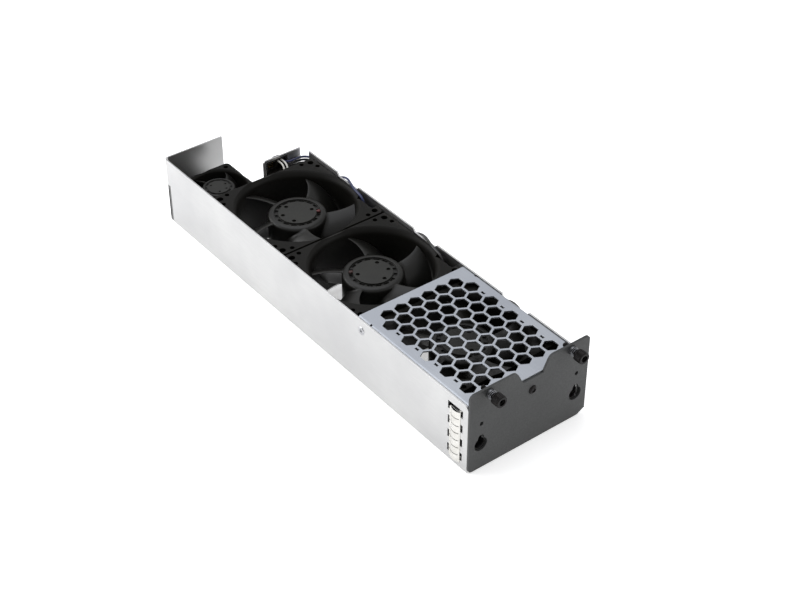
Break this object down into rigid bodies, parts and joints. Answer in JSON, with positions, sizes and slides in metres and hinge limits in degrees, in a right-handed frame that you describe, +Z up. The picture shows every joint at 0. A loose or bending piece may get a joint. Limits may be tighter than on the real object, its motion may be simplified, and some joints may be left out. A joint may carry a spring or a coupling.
{
  "type": "server fan module",
  "caption": "Low sheet-metal fan tray with axial fans lying flat in a row, a hex-perforated cover at the front, a face plate with captive thumbscrews and a smaller fan at the rear.",
  "frame": {"origin": "on the resting plane, midway between the side walls, in the plane of the face plate's back", "axes": "+X across the tray to the right seen from the front, +Y rearwards along the tray, +Z up"},
  "size_m": [0.0896, 0.3325, 0.0575],
  "materials": {
    "zinc_sheet": "electro-zinc-plated sheet, satin",
    "plate_paint": "fine-textured dark powder coat",
    "nickel_strip": "bright nickel-plated spring strip",
    "rivet_steel": "plated, semi-bright",
    "black_screw": "plated screw head",
    "ferrule_steel": "turned and plated",
    "knob_steel": "turned, satin nickel plate",
    "spring_steel": "drawn wire, bright",
    "zinc_screw": "zinc plated",
    "connector_plastic": "moulded black",
    "contact_brass": "gold-flashed contact",
    "clip_plastic": "moulded natural nylon",
    "fan_frame_plastic": "glass-filled moulding, slight sheen",
    "impeller_plastic": "glass-filled moulding, slight sheen",
    "stator_steel": "varnished laminations and coils",
    "bearing_steel": "ground",
    "yoke_steel": "drawn cup, plated",
    "magnet_ferrite": "bonded ferrite, dull",
    "shaft_steel": "ground",
    "board_laminate": "solder-masked laminate",
    "white_lead": "insulated wire",
    "black_lead": "insulated wire",
    "blue_lead": "insulated wire"
  },
  "bodies": {
    "tray": {"left_wall": "zinc_sheet", "right_wall": "zinc_sheet", "floor_pan": "zinc_sheet", "fan_partition_1": "zinc_sheet", "fan_partition_2": "zinc_sheet", "fan_partition_3": "zinc_sheet", "top_grille": "zinc_sheet", "cover_rivets": "rivet_steel", "front_plate": "plate_paint", "emi_finger_strip": "nickel_strip", "centre_screw": "black_screw", "screw_ferrules": "ferrule_steel", "fan_frame_1": "fan_frame_plastic", "fan_frame_2": "fan_frame_plastic", "fan_frame_3": "fan_frame_plastic", "fan_stator_1": "stator_steel", "fan_stator_2": "stator_steel", "fan_stator_3": "stator_steel", "fan_board_1": "board_laminate", "fan_board_2": "board_laminate", "fan_board_3": "board_laminate", "fan_bearings_1": "bearing_steel", "fan_bearings_2": "bearing_steel", "fan_bearings_3": "bearing_steel", "fan_lead_1": "black_lead", "fan_lead_2": "black_lead", "fan_lead_3": "blue_lead", "fan_screws": "zinc_screw", "small_fan_frame": "fan_frame_plastic", "small_fan_stator": "stator_steel", "small_fan_bearings": "bearing_steel", "small_fan_leads": "white_lead", "small_fan_screws": "zinc_screw", "connector_housing": "connector_plastic", "connector_contacts": "contact_brass", "connector_screws": "zinc_screw", "lead_clips": "clip_plastic"},
    "fan_1_rotor": {"impeller_1": "impeller_plastic", "rotor_cup_1": "yoke_steel", "magnet_ring_1": "magnet_ferrite", "rotor_shaft_1": "shaft_steel"},
    "fan_2_rotor": {"impeller_2": "impeller_plastic", "rotor_cup_2": "yoke_steel", "magnet_ring_2": "magnet_ferrite", "rotor_shaft_2": "shaft_steel"},
    "fan_3_rotor": {"impeller_3": "impeller_plastic", "rotor_cup_3": "yoke_steel", "magnet_ring_3": "magnet_ferrite", "rotor_shaft_3": "shaft_steel"},
    "small_fan_rotor": {"small_impeller": "impeller_plastic", "small_rotor_cup": "yoke_steel", "small_magnet_ring": "magnet_ferrite", "small_rotor_shaft": "shaft_steel"},
    "left_screw_washer": {"thrust_washer_left": "ferrule_steel", "screw_spring_left": "spring_steel"},
    "left_thumbscrew": {"thumbscrew_left": "knob_steel"},
    "right_screw_washer": {"thrust_washer_right": "ferrule_steel", "screw_spring_right": "spring_steel"},
    "right_thumbscrew": {"thumbscrew_right": "knob_steel"}
  },
  "joints": [
    {"name": "fan_1_spin", "type": "hinge", "parent": "tray", "child": "fan_1_rotor", "pos_m": [0, 0.0555, 0.026], "axis": [0, 0, 1], "continuous": true},
    {"name": "fan_2_spin", "type": "hinge", "parent": "tray", "child": "fan_2_rotor", "pos_m": [0, 0.1416, 0.026], "axis": [0, 0, 1], "continuous": true},
    {"name": "fan_3_spin", "type": "hinge", "parent": "tray", "child": "fan_3_rotor", "pos_m": [0, 0.2232, 0.026], "axis": [0, 0, 1], "continuous": true},
    {"name": "small_fan_spin", "type": "hinge", "parent": "tray", "child": "small_fan_rotor", "pos_m": [-0.0201, 0.2866, 0.021], "axis": [0, 0, 1], "continuous": true},
    {"name": "left_screw_press", "type": "slide", "parent": "tray", "child": "left_screw_washer", "axis": [0, 1, 0], "range_m": [0, 0.0027], "stiffness_N_per_m": 500, "springref_m": -0.002, "deforming": ["screw_spring_left"]},
    {"name": "left_screw_turn", "type": "hinge", "parent": "left_screw_washer", "child": "left_thumbscrew", "pos_m": [-0.02755, -0.008, 0.053], "axis": [0, 1, 0], "continuous": true},
    {"name": "right_screw_press", "type": "slide", "parent": "tray", "child": "right_screw_washer", "axis": [0, 1, 0], "range_m": [0, 0.0027], "stiffness_N_per_m": 500, "springref_m": -0.002, "deforming": ["screw_spring_right"]},
    {"name": "right_screw_turn", "type": "hinge", "parent": "right_screw_washer", "child": "right_thumbscrew", "pos_m": [0.03305, -0.008, 0.053], "axis": [0, 1, 0], "continuous": true}
  ]
}
